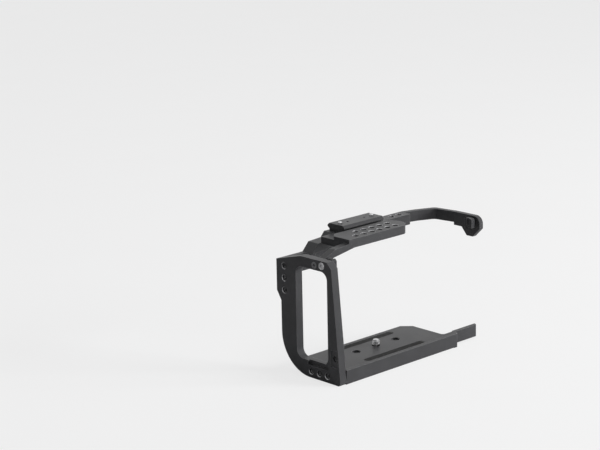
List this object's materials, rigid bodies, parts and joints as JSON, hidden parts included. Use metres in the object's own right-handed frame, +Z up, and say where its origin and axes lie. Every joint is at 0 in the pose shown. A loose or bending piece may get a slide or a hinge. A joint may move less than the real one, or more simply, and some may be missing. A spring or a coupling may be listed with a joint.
{
  "type": "camera cage",
  "caption": "Milled metal camera cage: base with rear lip, left side frame with port window, threaded top deck with rail and wrap-round grip arm.",
  "frame": {"origin": "axis of the camera screw where it meets the seat for the camera's base, under the lens axis", "axes": "+X to the operator's right, +Y forwards towards the lens, +Z up"},
  "size_m": [0.187, 0.075, 0.1161],
  "materials": {
    "black_anodised": "fine bead blasted, matt black anodised",
    "black_steel": "black oxide screws",
    "bright_steel": "turned stainless steel",
    "spring_steel": "drawn spring wire",
    "rubber": "matt",
    "nylon": "matt"
  },
  "bodies": {
    "cage": {"base_plate": "black_anodised", "side_frame": "black_anodised", "top_plate": "black_anodised", "grip_arm": "black_anodised", "base_joint_screws": "black_steel", "lap_screws": "black_steel", "shoulder_screw": "bright_steel", "arm_joint_screws": "black_steel", "rail_screws": "black_steel", "seat_pads": "rubber", "accessory_rail": "black_anodised", "rail_spring_left": "spring_steel", "rail_spring_right": "spring_steel", "camera_screw_circlip": "spring_steel"},
    "left_rail_pin": {"rail_pin_left": "bright_steel"},
    "right_rail_pin": {"rail_pin_right": "bright_steel"},
    "screw_washer": {"camera_screw_washer": "nylon"},
    "camera_screw": {"camera_screw": "bright_steel"},
    "screw_ring": {"camera_screw_ring": "spring_steel"},
    "left_jaw": {"left_lug_jaw": "black_anodised"},
    "left_clamp_screw": {"left_lug_screw": "bright_steel"},
    "right_jaw": {"right_lug_jaw": "black_anodised"},
    "right_clamp_screw": {"right_lug_screw": "bright_steel"}
  },
  "joints": [
    {"name": "left_pin_press", "type": "slide", "parent": "cage", "child": "left_rail_pin", "axis": [0, 0, -1], "range_m": [0, 0.0015], "stiffness_N_per_m": 250, "deforming": ["rail_spring_left"]},
    {"name": "right_pin_press", "type": "slide", "parent": "cage", "child": "right_rail_pin", "axis": [0, 0, -1], "range_m": [0, 0.0015], "stiffness_N_per_m": 250, "deforming": ["rail_spring_right"]},
    {"name": "camera_screw_travel", "type": "slide", "parent": "cage", "child": "screw_washer", "axis": [0, 0, -1], "range_m": [0, 0.0018]},
    {"name": "camera_screw_turn", "type": "hinge", "parent": "screw_washer", "child": "camera_screw", "pos_m": [0, 0, 0], "axis": [0, 0, 1], "continuous": true},
    {"name": "ring_fold", "type": "hinge", "parent": "camera_screw", "child": "screw_ring", "pos_m": [0, 0, -0.0052], "axis": [-1, 0, 0], "range_deg": [0, 90]},
    {"name": "left_clamp_turn", "type": "hinge", "parent": "left_jaw", "child": "left_clamp_screw", "pos_m": [-0.0805, -0.0176, 0.0902], "axis": [-1, 0, 0], "range_deg": [0, 1029]},
    {"name": "left_clamp_travel", "type": "slide", "parent": "cage", "child": "left_jaw", "axis": [-1, 0, 0], "range_m": [0, 0.002]},
    {"name": "right_clamp_turn", "type": "hinge", "parent": "right_jaw", "child": "right_clamp_screw", "pos_m": [0.1065, -0.02, 0.0935], "axis": [1, 0, 0], "range_deg": [0, 1029]},
    {"name": "right_clamp_travel", "type": "slide", "parent": "cage", "child": "right_jaw", "axis": [1, 0, 0], "range_m": [0, 0.002]}
  ],
  "couplings": [
    {"joint": "left_clamp_turn", "follows": "left_clamp_travel", "rad_per_m": 8976},
    {"joint": "right_clamp_turn", "follows": "right_clamp_travel", "rad_per_m": 8976}
  ]
}
